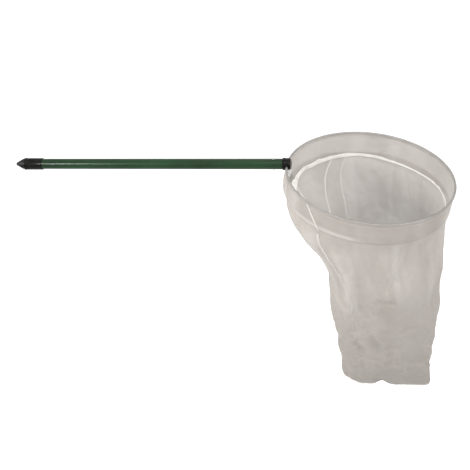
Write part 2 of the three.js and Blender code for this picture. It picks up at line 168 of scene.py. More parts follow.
def turned(name: str, outline: Outline, axis: Axis, centre: Vector, steps: int, loop: bool,
           bevel: float = 0.0) -> bpy.types.Object:
    """Spins an outline round an axis.

    Args:
        name: The piece's name.
        outline: Points of distance along the axis and radius.
        axis: The axis of the spin.
        centre: A point on the axis.
        steps: The number of steps round the axis.
        loop: Whether the outline closes on itself instead of ending on the axis.
        bevel: The width of the rounding on the sharp edges, or 0 for none.

    Returns:
        The turned piece.
    """
    mesh = bmesh.new()
    line = Vector(axis.value)
    side = Vector((0.0, 1.0, 0.0))
    corners = [mesh.verts.new(centre + line * along + side * radius) for along, radius in outline]
    edges = [mesh.edges.new(pair) for pair in zip(corners, corners[1:])]
    if loop:
        edges.append(mesh.edges.new((corners[-1], corners[0])))
    bmesh.ops.spin(mesh, geom=corners + edges, cent=centre, axis=line, angle=math.tau,
                   steps=steps, use_merge=True, use_duplicate=False)
    bmesh.ops.remove_doubles(mesh, verts=mesh.verts[:], dist=MERGE_DISTANCE)
    bmesh.ops.recalc_face_normals(mesh, faces=mesh.faces[:])
    if bevel:
        rims = [e for e in mesh.edges if len(e.link_faces) == 2
                and e.calc_face_angle() > math.radians(30)]
        bmesh.ops.bevel(mesh, geom=rims, offset=bevel, offset_type="OFFSET", affect="EDGES",
                        segments=3, profile=0.5, material=-1, clamp_overlap=True)
    return finished(name, mesh)


@dataclass
class ClothGrid:
    """A rectangle of cloth in columns and rows, placed by a function of its two shares."""

    name: str
    columns: int
    rows: int
    place: Callable[[float, float], Vector]
    width: float
    length: float
    wraps: bool = False
    shares: list[tuple[float, float]] = field(default_factory=list)

    def build(self) -> bpy.types.Object:
        """Builds the cloth with a UV map in metres of its flat cut, and notes its shares."""
        mesh = bmesh.new()
        bmesh.ops.create_grid(mesh, x_segments=self.columns, y_segments=self.rows, size=0.5)
        flat = mesh.loops.layers.uv.new("flat_cut")
        for face in mesh.faces:
            for loop in face.loops:
                across, down = loop.vert.co.x + 0.5, loop.vert.co.y + 0.5
                loop[flat].uv = (across * self.width, down * self.length)
        along = mesh.verts.layers.float.new("share_across")
        below = mesh.verts.layers.float.new("share_down")
        for vert in mesh.verts:
            across, down = vert.co.x + 0.5, vert.co.y + 0.5
            vert[along], vert[below] = across, down
            vert.co = self.place(across, down)
        if self.wraps:
            bmesh.ops.remove_doubles(mesh, verts=mesh.verts[:], dist=MERGE_DISTANCE)
        bmesh.ops.recalc_face_normals(mesh, faces=mesh.faces[:])
        mesh.verts.ensure_lookup_table()
        self.shares = [(vert[along], vert[below]) for vert in mesh.verts]
        return finished(self.name, mesh, 180.0)


def thickened(piece: bpy.types.Object, thickness: float, levels: int, offset: float = 0.0) -> None:
    """Gives a sheet a smooth surface and a thickness.

    Args:
        piece: The sheet.
        thickness: The thickness in metres.
        levels: The levels of subdivision, or 0 for none.
        offset: Where the thickness lies, from -1 inside to 1 outside.
    """
    if levels:
        smooth = piece.modifiers.new("smooth_cloth", "SUBSURF")
        smooth.levels = smooth.render_levels = levels
    wall = piece.modifiers.new("cloth_thickness", "SOLIDIFY")
    wall.thickness = thickness
    wall.offset = offset


def capped(piece: bpy.types.Object) -> None:
    """Closes the open ends of a piece."""
    mesh = bmesh.new()
    mesh.from_mesh(piece.data)
    bmesh.ops.holes_fill(mesh, edges=[e for e in mesh.edges if e.is_boundary], sides=0)
    bmesh.ops.recalc_face_normals(mesh, faces=mesh.faces[:])
    mesh.to_mesh(piece.data)
    mesh.free()


def dress(piece: bpy.types.Object, material: bpy.types.Material, slot: Slot,
          *nodes: str) -> bpy.types.Object:
    """Gives a piece its material and hides the CAD nodes that it stands for."""
    piece.data.materials.append(material)
    if nodes:
        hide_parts(*nodes)
    log.info("%s: %d faces", piece.name, len(piece.data.polygons))
    return piece


# Finishes


class Tree:
    """The node tree of a material under construction."""

    def __init__(self, name: str) -> None:
        """Starts a material that has only its shader and output."""
        self.material = bpy.data.materials.new(name)
        self.material.use_nodes = True
        self.nodes = self.material.node_tree.nodes
        self.shader = self.nodes["Principled BSDF"]

    def add(self, kind: str, **sockets: object) -> bpy.types.Node:
        """Adds a node and sets its inputs, named with underscores for spaces."""
        node = self.nodes.new(kind)
        for name, value in sockets.items():
            node.inputs[name.replace("_", " ")].default_value = value
        return node

    def join(self, source: bpy.types.NodeSocket, target: bpy.types.NodeSocket) -> None:
        """Links one socket to another."""
        self.material.node_tree.links.new(source, target)

    def place(self, output: str, scale: Sequence[float]) -> bpy.types.NodeSocket:
        """Gives the object's own coordinates or UV map, scaled."""
        source = self.add("ShaderNodeTexCoord")
        mapping = self.add("ShaderNodeMapping", Scale=tuple(scale))
        self.join(source.outputs[output], mapping.inputs["Vector"])
        return mapping.outputs["Vector"]

    def mottle(self, scale: Sequence[float], detail: float, output: str = "Object",
               roughness: float = 0.55) -> bpy.types.NodeSocket:
        """Gives a noise value from 0 to 1 at a scale in cells a metre."""
        texture = self.add("ShaderNodeTexNoise", Scale=1.0, Detail=detail, Roughness=roughness)
        self.join(self.place(output, scale), texture.inputs["Vector"])
        return texture.outputs["Fac"]

    def attribute(self, name: str) -> bpy.types.NodeSocket:
        """Reads a layer of numbers from the piece's vertices."""
        node = self.nodes.new("ShaderNodeAttribute")
        node.attribute_name = name
        return node.outputs["Fac"]

    def span(self, value: bpy.types.NodeSocket, ends: tuple[float, float],
             to: tuple[float, float]) -> bpy.types.NodeSocket:
        """Maps a value from one range to another and clamps it."""
        node = self.add("ShaderNodeMapRange", From_Min=ends[0], From_Max=ends[1],
                        To_Min=to[0], To_Max=to[1])
        self.join(value, node.inputs["Value"])
        return node.outputs["Result"]

    def tint(self, value: bpy.types.NodeSocket, low: Colour | bpy.types.NodeSocket,
             high: Colour) -> bpy.types.NodeSocket:
        """Mixes a colour, written or linked, towards another one by a value."""
        node = self.nodes.new("ShaderNodeMix")
        node.data_type = "RGBA"
        colours = [s for s in node.inputs if s.type == "RGBA"]
        if isinstance(low, tuple):
            colours[0].default_value = (*low, 1.0)
        else:
            self.join(low, colours[0])
        colours[1].default_value = (*high, 1.0)
        self.join(value, node.inputs[0])
        return next(s for s in node.outputs if s.type == "RGBA")

    def relief(self, height: bpy.types.NodeSocket, strength: float, distance: float,
               under: bpy.types.NodeSocket | None = None) -> bpy.types.NodeSocket:
        """Adds a bump, over another one where that is given."""
        node = self.add("ShaderNodeBump", Strength=strength, Distance=distance)
        self.join(height, node.inputs["Height"])
        if under is not None:
            self.join(under, node.inputs["Normal"])
        return node.outputs["Normal"]

    def combine(self, how: str, a: bpy.types.NodeSocket,
                b: bpy.types.NodeSocket | float | None = None) -> bpy.types.NodeSocket:
        """Changes a value by a math operation, with another value or number if it needs one."""
        node = self.nodes.new("ShaderNodeMath")
        node.operation = how
        self.join(a, node.inputs[0])
        if isinstance(b, float):
            node.inputs[1].default_value = b
        elif b is not None:
            self.join(b, node.inputs[1])
        return node.outputs[0]

    def ribs(self, flat: bpy.types.NodeSocket, bands: str, pitch: float,
             wobble: float) -> bpy.types.NodeSocket:
        """Gives waves across the cloth's flat cut, one each pitch in metres."""
        wave = self.add("ShaderNodeTexWave", Scale=math.tau / 20 / pitch, Distortion=wobble,
                        Detail=1.0)
        wave.bands_direction = bands
        self.join(flat, wave.inputs["Vector"])
        return wave.outputs["Fac"]

    def facets(self, scale: float) -> bpy.types.NodeSocket:
        """Gives the height of crumpled facets with sharp crests between them, in cells a metre."""
        bent = 0.6 / scale
        warp = self.add("ShaderNodeTexNoise", Scale=scale * 0.7, Detail=2.0)
        source = self.add("ShaderNodeTexCoord")
        self.join(source.outputs["Object"], warp.inputs["Vector"])
        bend = self.nodes.new("ShaderNodeVectorMath")
        bend.operation = "MULTIPLY_ADD"
        self.join(warp.outputs["Color"], bend.inputs[0])
        bend.inputs[1].default_value = (bent, bent, bent)
        self.join(source.outputs["Object"], bend.inputs[2])
        cells = self.add("ShaderNodeTexVoronoi", Scale=scale)
        self.join(bend.outputs["Vector"], cells.inputs["Vector"])
        return cells.outputs["Distance"]

    def feed(self, **sockets: bpy.types.NodeSocket) -> None:
        """Links values to the shader's inputs, named with underscores for spaces."""
        for name, value in sockets.items():
            self.join(value, self.shader.inputs[name.replace("_", " ")])

    def settle(self, **sockets: object) -> None:
        """Sets plain values on the shader's inputs."""
        for name, value in sockets.items():
            self.shader.inputs[name.replace("_", " ")].default_value = value


@dataclass(frozen=True)
class CoatedTube:
    """Dark green baked enamel on the tube, slightly cloudy, with fine marks along its length."""

    dark: Colour = (0.009, 0.026, 0.010)
    light: Colour = (0.015, 0.050, 0.019)
    roughness: tuple[float, float] = (0.15, 0.23)

    def build(self) -> bpy.types.Material:
        """Builds the material."""
        tree = Tree("green_enamel")
        cloud = tree.mottle((9.0, 26.0, 26.0), 3.0)
        marks = tree.mottle((30.0, 1400.0, 1400.0), 2.0)
        tree.feed(
            Base_Color=tree.tint(tree.span(cloud, (0.3, 0.7), (0.0, 1.0)), self.dark, self.light),
            Roughness=tree.span(marks, (0.3, 0.7), self.roughness),
            Normal=tree.relief(marks, 0.12, 0.0002, tree.relief(cloud, 0.05, 0.002)),
        )
        tree.settle(Specular_IOR_Level=0.21)
        return tree.material


@dataclass(frozen=True)
class MouldedPlastic:
    """Black moulded plastic with a fine grain and paler rubbed places."""

    name: str
    dark: Colour = (0.004, 0.004, 0.0035)
    worn: Colour = (0.010, 0.010, 0.009)
    roughness: tuple[float, float] = (0.13, 0.22)

    def build(self) -> bpy.types.Material:
        """Builds the material."""
        tree = Tree(self.name)
        rub = tree.mottle((60.0, 60.0, 60.0), 4.0)
        grain = tree.mottle((1800.0, 1800.0, 1800.0), 2.0)
        tree.feed(
            Base_Color=tree.tint(tree.span(rub, (0.45, 0.75), (0.0, 1.0)), self.dark, self.worn),
            Roughness=tree.span(rub, (0.3, 0.7), self.roughness),
            Normal=tree.relief(grain, 0.22, 0.0002),
        )
        tree.settle(Specular_IOR_Level=0.14)
        return tree.material


@dataclass(frozen=True)
class ZincSteel:
    """Zinc-plated steel with faint drawing marks."""

    name: str
    low: Colour = (0.22, 0.22, 0.21)
    high: Colour = (0.42, 0.42, 0.41)
    roughness: tuple[float, float] = (0.26, 0.44)

    def build(self) -> bpy.types.Material:
        """Builds the material."""
        tree = Tree(self.name)
        cloud = tree.mottle((160.0, 160.0, 160.0), 4.0)
        marks = tree.mottle((900.0, 900.0, 900.0), 2.0)
        tree.feed(
            Base_Color=tree.tint(tree.span(cloud, (0.3, 0.7), (0.0, 1.0)), self.low, self.high),
            Roughness=tree.span(cloud, (0.3, 0.7), self.roughness),
            Normal=tree.relief(marks, 0.10, 0.0001),
        )
        tree.settle(Metallic=1.0)
        return tree.material


@dataclass(frozen=True)
class Pleat:
    """A narrow pleat, straight on the netting's flat cut, where the doubled cloth is denser and painted
    lighter; a wide one is a broad band of painted light.
    """

    start: tuple[float, float]
    end: tuple[float, float]
    width: float = 0.004
    strength: float = 1.0


@dataclass(frozen=True)
class Netting:
    """Fine knitted netting: threads across and along, with small holes that let light through."""

    name: str
    dark: Colour = (0.505, 0.462, 0.422)
    light: Colour = (0.615, 0.575, 0.537)
    # foot: painted shade, the colour that a long sheet darkens to towards its bottom and in its creases
    foot: Colour = (0.425, 0.388, 0.354)
    pitch: float = 0.0013
    cover: tuple[float, float] = (0.38, 0.72)
    crumple: float = 0.5
    length: float = 0.0
    open_at: float = 0.0
    pleats_painted_light: tuple[Pleat, ...] = ()
    # Painted light: the colour that the pleat bands are tinted towards.
    pleat_painted_light: Colour = (0.80, 0.77, 0.73)
    pleat_cover: float = 0.8
    # Painted shade: how far the creases are tinted towards the foot colour.
    fold_painted_shade: float = 0.40
    fold_cover: float = 0.25
    open_width: tuple[float, float] = (0.0055, 0.0090)
    open_cover: float = 0.38

    def threads(self, tree: Tree) -> bpy.types.NodeSocket:
        """Draws the threads across and along, 1 on a thread and 0 in a hole."""
        flat = tree.place("UV", (1.0, 1.0, 1.0))
        return tree.combine("MAXIMUM", tree.ribs(flat, "X", self.pitch, 0.6),
                            tree.ribs(flat, "Y", self.pitch * 0.8, 0.6))

    def pleated(self, tree: Tree, across: bpy.types.NodeSocket,
                down: bpy.types.NodeSocket) -> bpy.types.NodeSocket | None:
        """Draws the pleat bands that carry painted light, 1 on a band and 0 beside it."""
        total = None
        for pleat in self.pleats_painted_light:
            (x0, y0), (x1, y1) = pleat.start, pleat.end
            side, run = across, down
            if abs(x1 - x0) > abs(y1 - y0):
                side, run, x0, y0, x1, y1 = down, across, y0, x0, y1, x1
            line = tree.span(run, (y0, y1), (x0, x1))
            away = tree.combine("ABSOLUTE", tree.combine("SUBTRACT", side, line))
            edge = tree.span(away, (pleat.width * 0.3, pleat.width * 0.7), (pleat.strength, 0.0))
            begin = tree.span(run, (y0 - 0.03, y0), (0.0, 1.0))
            reach = tree.span(run, (y1, y1 + 0.06), (1.0, 0.0))
            drawn = tree.combine("MULTIPLY", edge, tree.combine("MULTIPLY", begin, reach))
            total = drawn if total is None else tree.combine("MAXIMUM", total, drawn)
        return total

    def build(self) -> bpy.types.Material:
        """Builds the material."""
        tree = Tree(self.name)
        threads = self.threads(tree)
        split = tree.nodes.new("ShaderNodeSeparateXYZ")
        tree.join(tree.place("UV", (1.0, 1.0, 1.0)), split.inputs[0])
        across, down = split.outputs["X"], split.outputs["Y"]
        cloud = tree.mottle((13.0, 13.0, 8.0), 4.0)
        streaks = tree.mottle((17.0, 1.8, 1.0), 3.0, "UV")
        tone = tree.span(tree.combine("ADD", cloud, streaks), (0.78, 1.22), (0.0, 1.0))
        colour = tree.tint(tone, self.dark, self.light)
        folds = tree.mottle((60.0, 60.0, 34.0), 3.0)
        facets = tree.facets(26.0)
        cover = tree.span(threads, (0.25, 0.8), self.cover)
        height = folds
        if self.length:
            # Painted shade: the colour darkens towards the bottom of the sheet, where the crumple bumps
            # also grow.
            low = tree.span(down, (0.2 * self.length, self.length), (0.0, 1.0))
            colour = tree.tint(low, colour, self.foot)
            height = tree.combine("ADD", folds, tree.combine("MULTIPLY", facets, low))
            # Painted shade in the creases: the pressed layer tints the colour towards the foot colour,
            # and its denser cover stands for the doubled cloth.
            pressed = tree.attribute(FOLD_LAYER)
            crease_painted_shade = tree.span(pressed, (0.0, 1.0), (0.0, self.fold_painted_shade))
            colour = tree.tint(crease_painted_shade, colour, self.foot)
            doubled = tree.span(pressed, (0.0, 1.0), (0.0, self.fold_cover))
            cover = tree.combine("ADD", cover, doubled)
        if self.open_at:
            away = tree.combine("ABSOLUTE", tree.combine("SUBTRACT", down, self.open_at))
            thin = tree.span(away, self.open_width, (self.open_cover, 1.0))
            cover = tree.combine("MULTIPLY", cover, thin)
        pleats_painted_light = self.pleated(tree, across, down)
        if pleats_painted_light is not None:
            # Painted light: the pleat bands are tinted lighter, and their denser cover stands for the
            # doubled cloth.
            colour = tree.tint(pleats_painted_light, colour, self.pleat_painted_light)
            dense = tree.span(pleats_painted_light, (0.0, 1.0), (0.0, self.pleat_cover))
            cover = tree.combine("MAXIMUM", cover, dense)
        wide = tree.relief(height, self.crumple, 0.005)
        tree.feed(
            Base_Color=colour,
            Alpha=cover,
            Normal=tree.relief(threads, 0.18, 0.0002, wide),
            Roughness=tree.span(cloud, (0.3, 0.7), (0.82, 0.95)),
        )
        tree.settle(Sheen_Weight=0.12, Specular_IOR_Level=0.15)
        return tree.material


@dataclass(frozen=True)
class WovenTape:
    """Close-woven off-white tape, ribbed across, with a slight grey cast in its hollows."""

    name: str
    shade: Colour = (0.76, 0.73, 0.69)
    light: Colour = (0.94, 0.92, 0.88)
    rib: float = 0.0009

    def build(self) -> bpy.types.Material:
        """Builds the material."""
        tree = Tree(self.name)
        ribs = tree.ribs(tree.place("UV", (1.0, 1.0, 1.0)), "X", self.rib, 0.4)
        cloud = tree.mottle((55.0, 55.0, 55.0), 4.0)
        tree.feed(
            Base_Color=tree.tint(tree.span(cloud, (0.25, 0.6), (0.0, 1.0)), self.shade, self.light),
            Normal=tree.relief(ribs, 0.3, 0.0003, tree.relief(cloud, 0.2, 0.002)),
            Roughness=tree.span(cloud, (0.3, 0.7), (0.8, 0.95)),
        )
        tree.settle(Sheen_Weight=0.1, Specular_IOR_Level=0.2)
        return tree.material


# The object


@dataclass(frozen=True)
class HoopPlane:
    """The plane of the hoop, which droops from the front of the handle."""

    start: float = 0.444
    radius: float = 0.1695
    droop: float = math.radians(9.4)

    @property
    def along(self) -> Vector:
        """The direction from the handle across the hoop."""
        return Vector((math.cos(self.droop), 0.0, -math.sin(self.droop)))

    @property
    def normal(self) -> Vector:
        """The direction up, square to the hoop."""
        return Vector((math.sin(self.droop), 0.0, math.cos(self.droop)))

    @property
    def centre(self) -> Vector:
        """The middle of the hoop."""
        return Vector((self.start, 0.0, 0.0)) + self.along * self.radius

    def point(self, angle: float, radius: float, height: float) -> Vector:
        """Finds a point by its angle round the hoop, 0 at the handle and growing towards +Y."""
        flat = self.along * (-radius * math.cos(angle))
        flat += Vector((0.0, radius * math.sin(angle), 0.0))
        return self.centre + flat + self.normal * height


HOOP = HoopPlane()


@dataclass
class Handle:
    """The tube with its end cap, its front plug and the hollow rivet that holds the plug."""

    rear: float = -0.126
    front: float = 0.435
    radius: float = 0.011
    wall: float = 0.0012
    cap_radius: float = 0.0125
    cap_bead: float = 0.0005
    cap_shoulder: float = -0.1275
    cap_mouth: float = -0.0875
    nose_length: float = 0.021
    nose_tip: float = 0.003
    plug_back: float = 0.4353
    plug_front: float = 0.4513
    plug_radius: float = 0.0122
    ridge: float = 0.0006
    ridge_width: float = 0.004
    spigot_rear: float = 0.390
    rivet_x: float = 0.416
    rivet_seat: float = 0.0113
    rivet_head: float = 0.003
    rivet_bore: float = 0.0007
    rivet_height: float = 0.0009
    rounding: float = 0.0003
    steps: int = 96

    def tube(self) -> bpy.types.Object:
        """Builds the tube with its wall and rounded ends."""
        bore = self.radius - self.wall
        middle = [self.rear + (self.front - self.rear) * share / 12 for share in range(13)]
        outline = [(self.rear, bore), (self.front, bore)]
        outline += [(x, self.radius) for x in reversed(middle)]
        return turned("handle_tube_coated", outline, Axis.HANDLE, Vector(), self.steps, True,
                      self.rounding)

    def cap(self) -> bpy.types.Object:
        """Builds the end cap: a sleeve, a bead and a blunt nose."""
        bore = self.radius + 0.0001
        outside, bead = self.cap_radius, self.cap_radius + self.cap_bead
        shoulder = self.cap_shoulder
        outline = [(self.rear - 0.0003, 0.0), (self.rear - 0.0003, bore), (self.cap_mouth, bore)]
        outline += [(self.cap_mouth, outside - 0.0004), (self.cap_mouth - 0.0004, outside)]
        outline += [(shoulder + ahead, radius) for ahead, radius in (
            (0.0034, outside), (0.0026, bead - 0.0001), (0.0018, bead), (0.0010, bead),
            (0.0004, bead - 0.0002), (0.0, outside - 0.0001))]
        for step in range(1, 15):
            share = step / 14
            radius = self.nose_tip + (outside - self.nose_tip) * (1 - share**1.25)
            outline.append((shoulder - (self.nose_length - self.nose_tip / 2) * share, radius))
        for step in range(1, 6):
            turn = math.pi / 2 * step / 5
            outline.append((shoulder - self.nose_length + self.nose_tip / 2 * (1 - math.sin(turn)),
                            self.nose_tip * math.cos(turn)))
        return turned("rear_cap_moulded", outline, Axis.HANDLE, Vector(), self.steps, False)

    def plug(self) -> bpy.types.Object:
        """Builds the plug: a spigot in the tube, a ridge and a chamfered head."""
        spigot = self.radius - self.wall - 0.0003
        ridge = self.plug_radius + self.ridge
        back, front = self.plug_back, self.plug_front
        rear, radius, chamfer = self.spigot_rear, self.plug_radius, 0.0025
        outline = [
            (rear, 0.0), (rear, spigot - 0.0012), (rear + chamfer, spigot),
            (back, spigot), (back, ridge), (back + self.ridge_width, ridge),
            (back + self.ridge_width + self.ridge, radius), (front - chamfer, radius),
            (front, radius - chamfer), (front, radius - 0.0060),
            (front - 0.0006, radius - 0.0066), (front - 0.0006, 0.0),
        ]
        return turned("front_plug_moulded", outline, Axis.HANDLE, Vector(), self.steps, False,
                      self.rounding)

    def rivet(self) -> bpy.types.Object:
        """Builds the hollow rivet, upright through the tube and plug."""
        top = self.rivet_seat + self.rivet_height
        head, bore = self.rivet_head, self.rivet_bore
        foot = self.rivet_seat - 0.0003
        half = [(foot, 0.0016), (foot, head), (self.rivet_seat + 0.0004, head),
                (top, head - 0.0007), (top - 0.0001, bore + 0.0005), (top - 0.0004, bore)]
        below = [(-along, radius) for along, radius in reversed(half)]
        centre = Vector((self.rivet_x, 0.0, 0.0))
        return turned("plug_rivet_hollow", below + half, Axis.UPRIGHT, centre, 32, True, 0.0001)

    def build(self) -> None:
        """Builds and dresses the handle."""
        dressed = [
            dress(self.tube(), CoatedTube().build(), Slot.TUBE, "handle_tube"),
            dress(self.cap(), MouldedPlastic("cap_black").build(), Slot.CAP, "rear_end_cap"),
            dress(self.plug(), MouldedPlastic("plug_black").build(), Slot.PLUG, "front_plug"),
            dress(self.rivet(), ZincSteel("rivet_zinc").build(), Slot.RIVET, "plug_rivet"),
        ]
        for piece in dressed:
            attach(piece, Body.FRAME.value)


@dataclass
class HoopWire:
    """The round wire: two shanks in the plug, a bend at each side, and the hoop."""

    radius: float = 0.002
    shank: float = 0.040
    half_spread: float = 0.005
    bend: float = 0.008
    hoop_steps: int = 220
    bend_steps: int = 12
    shank_steps: int = 4
    sides: int = 16
    flat_length: float = 1.15

    def route(self) -> list[Vector]:
        """Finds the points of the wire's middle line from one shank's end to the other's."""
        reach = HOOP.radius + self.bend
        meet = math.asin((self.half_spread + self.bend) / reach)
        bend_x = HOOP.start + HOOP.radius - reach * math.cos(meet)
        root = []
        for step in range(self.shank_steps):
            root.append((bend_x - self.shank * (1 - step / self.shank_steps), self.half_spread))
        for step in range(self.bend_steps):
            turn = (math.pi / 2 - meet) * step / self.bend_steps
            root.append((bend_x + self.bend * math.sin(turn),
                         self.half_spread + self.bend * (1 - math.cos(turn))))
        slope = math.tan(HOOP.droop)
        left = [Vector((x, y, -max(0.0, x - HOOP.start) * slope)) for x, y in root]
        right = [Vector((p.x, -p.y, p.z)) for p in reversed(left)]
        span = math.tau - 2 * meet
        ring = [HOOP.point(meet + span * step / self.hoop_steps, HOOP.radius, 0.0)
                for step in range(self.hoop_steps + 1)]
        return left + ring + right

    def build(self) -> None:
        """Builds and dresses the wire."""
        route = self.route()
        last = len(route) - 1

        def place(across: float, down: float) -> Vector:
            """Finds a point on the wire's surface."""
            here = round(down * last)
            ahead = route[min(here + 1, last)] - route[max(here - 1, 0)]
            out = HOOP.normal.cross(ahead).normalized()
            up = ahead.cross(out).normalized()
            turn = across * math.tau
            return route[here] + (out * math.cos(turn) + up * math.sin(turn)) * self.radius

        grid = ClothGrid("hoop_wire_zinc", self.sides, last, place, math.tau * self.radius,
                         self.flat_length, True)
        piece = grid.build()
        capped(piece)
        dress(piece, ZincSteel("wire_zinc").build(), Slot.WIRE, "hoop_wire")
        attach(piece, Body.FRAME.value)


@dataclass
class Collar:
    """The band of netting folded over the wire, with its joint tape, its hem and its stitches."""

    bottom: float = -0.0472
    taper: float = 0.0023
    casing: float = 0.006
    ply_gap: float = 0.0008
    fold_radius: float = 0.0024
    end_gap: float = 0.040
    thickness: float = 0.0005
    hem_top: float = -0.0468
    hem_height: float = 0.0090
    hem_inner: float = 0.1657
    hem_thickness: float = 0.0026
    tape_width: float = 0.044
    tape_top: float = -0.014
    stitch_pitch: float = 0.0042
    stitch_fill: float = 0.38
    stitch_thick: tuple[float, float] = (0.00022, 0.00024)
    # Degrees round the hoop, then millimetres that the ply hangs in and that the hem leans in.
    hang: tuple[tuple[float, float, float], ...] = (
        (-180, 7.5, 2.0), (-165, 4.5, 1.0), (-150, 3.4, 0.0), (-60, 3.4, 0.0), (-44, 3.8, 0.5),
        (-32, 6.0, 3.0), (-20, 10.0, 9.0), (-6, 11.0, 12.0), (8, 10.0, 9.0), (20, 8.5, 4.0),
        (28, 7.5, 2.0), (36, 9.5, 3.0), (50, 8.0, 2.0), (62, 5.5, 1.0), (78, 4.0, 0.5),
        (90, 5.5, 0.5), (97, 8.0, 1.5), (104, 12.5, 3.0), (112, 13.5, 3.0), (122, 13.0, 3.0),
        (132, 11.5, 3.0), (142, 9.0, 3.0), (155, 7.0, 2.0), (172, 7.5, 2.0), (180, 7.5, 2.0),
    )
    taped: tuple[float, float] = (-84.0, -26.0)
    bulge: float = 0.0065
    ripple: float = 0.0016
    # Painted light: broad lighter bands on the far collar, a painted highlight along the near hem's
    # edge, and narrow pleats where the doubled cloth is denser.
    pleats_painted_light: tuple[Pleat, ...] = (
        Pleat((0.050, 0.0), (0.050, 0.10), 0.210, 0.30),
        Pleat((0.118, 0.06), (0.112, 0.10), 0.004, 0.5),
        Pleat((0.206, 0.0), (0.206, 0.10), 0.040, 0.25),
        Pleat((0.294, 0.06), (0.290, 0.10), 0.020, 0.18),
        Pleat((0.945, 0.0), (0.945, 0.04), 0.030, 0.25),
        Pleat((0.80, 0.0030), (0.93, 0.0030), 0.006, 0.60),
    )
    seam_top: float = math.radians(-49.0)
    seam_foot: float = math.radians(-60.0)
    seam_start: float = -0.0035
    seam_width: float = 0.005
    columns: int = 240

    def slope(self, height: float) -> float:
        """Finds the share of the way down from the stitches under the wire to the bottom."""
        return max(0.0, -height - self.casing) / (-self.bottom - self.casing)

    def slack(self, angle: float, height: float) -> float:
        """Finds how far the cloth stands out of its even cone at a place on the collar."""
        free = smoothstep(-0.004, -0.016, height)
        middle = math.sin(math.pi * min(1.0, max(0.0, height / self.bottom)))
        turn = Vector((math.cos(angle) * 5.5, math.sin(angle) * 5.5, height * 22.0))
        ripple = self.ripple * noise.noise(turn) * (0.35 + 0.65 * middle)
        pucker = 0.0004 * math.sin(angle * 150.0) * bump_at(-self.casing, 0.004, height)
        bulge = self.bulge * middle * bump_at(-0.36, 0.26, math.remainder(angle, math.tau))
        return smoothstep(0.0, 1.0, free) * ripple + pucker + bulge

    def drawn(self, angle: float, height: float) -> float:
        """Finds how far the inner ply and the hem hang in at a place."""
        turn = math.degrees(math.remainder(angle, math.tau))
        after = bisect_right(self.hang, turn, key=lambda row: row[0])
        after = min(max(1, after), len(self.hang) - 1)
        (t0, in0, lean0), (t1, in1, lean1) = self.hang[after - 1], self.hang[after]
        part = min(1.0, max(0.0, (turn - t0) / (t1 - t0)))
        low = max(0.0, self.hem_top - height) / self.hem_height
        ply = min(self.slope(height), 1.0) * (in0 + (in1 - in0) * part)
        return 0.001 * (ply + low * (lean0 + (lean1 - lean0) * part))

    def hem_share(self, angle: float) -> float:
        """Finds how much of its height the hem shows, less where it is folded up."""
        turn = math.degrees(math.remainder(angle, math.tau))
        far = 0.20 * smoothstep(68.0, 80.0, turn) + 0.35 * smoothstep(94.0, 108.0, turn)
        return 1.0 - far - 0.40 * smoothstep(40.0, 90.0, -turn)

    def section(self, share: float) -> tuple[float, float, float]:
        """Finds a place across the band.

        Args:
            share: From 0 at the outer ply's bottom, over the wire, to 1 at the inner one's.

        Returns:
            The distance out of the wire's circle, the height, and the length of cloth up to there.
        """
        skirt = -self.casing - self.bottom
        skirt_share, casing_share, fold_share = 0.5, 0.2, 0.3
        side = -1.0 if share > 0.5 else 1.0
        near = 2 * min(share, 1.0 - share)
        flat = self.ply_gap
        if near < skirt_share:
            height = self.bottom + skirt * near / skirt_share
            out = side * flat - self.taper * (1 - near / skirt_share)
            run = skirt * near / skirt_share
        elif near < skirt_share + casing_share:
            part = (near - skirt_share) / casing_share
            height = -self.casing * (1 - part)
            out = side * (flat + (self.fold_radius - flat) * smoothstep(0.0, 1.0, part))
            run = skirt + self.casing * part
        else:
            turn = math.pi / 2 * (near - skirt_share - casing_share) / fold_share
            height = self.fold_radius * math.sin(turn)
            out = side * self.fold_radius * math.cos(turn)
            run = skirt + self.casing + self.fold_radius * turn
        half = skirt + self.casing + self.fold_radius * math.pi / 2
        return out, height, run if side > 0 else 2 * half - run

    def band(self) -> bpy.types.Object:
        """Builds the folded band of netting."""
        start = math.asin(self.end_gap / 2 / HOOP.radius)
        span = math.tau - 2 * start
        length = self.section(1.0)[2]

        def place(across: float, down: float) -> Vector:
            """Finds a point of the band."""
            angle = start + span * across
            out, height, _ = self.section(down)
            inward = self.drawn(angle, height) if down > 0.5 else 0.0
            return HOOP.point(angle, HOOP.radius + out + self.slack(angle, height) - inward, height)

        grid = ClothGrid("rim_collar_netting", self.columns, 48, place, span * HOOP.radius, length)
        piece = grid.build()
        thickened(piece, self.thickness, 0)
        return piece

    def hem(self) -> bpy.types.Object:
        """Builds the bound hem as a closed ring with a soft, slightly wavy edge."""
        sides = 12
        half_wide, half_high = self.hem_thickness / 2, self.hem_height / 2
        middle = self.hem_inner + half_wide

        def place(across: float, down: float) -> Vector:
            """Finds a point on the hem's surface."""
            angle, turn = across * math.tau, down * math.tau
            wave = noise.noise(Vector((math.cos(angle) * 9.0, math.sin(angle) * 9.0, 3.0)))
            square = abs(math.cos(turn)) ** 0.55 * math.copysign(1.0, math.cos(turn))
            upright = abs(math.sin(turn)) ** 0.75 * math.copysign(1.0, math.sin(turn))
            high = half_high * self.hem_share(angle)
            height = self.hem_top - high + (high + 0.0010 * wave) * upright + 0.0010 * wave
            radius = middle + half_wide * square + 0.5 * self.slack(angle, self.hem_top)
            return HOOP.point(angle, radius - self.drawn(angle, height), height)

        grid = ClothGrid("collar_hem_bound", self.columns, sides * 2, place, math.tau * middle,
                         2 * (self.hem_height + self.hem_thickness), True)
        return grid.build()

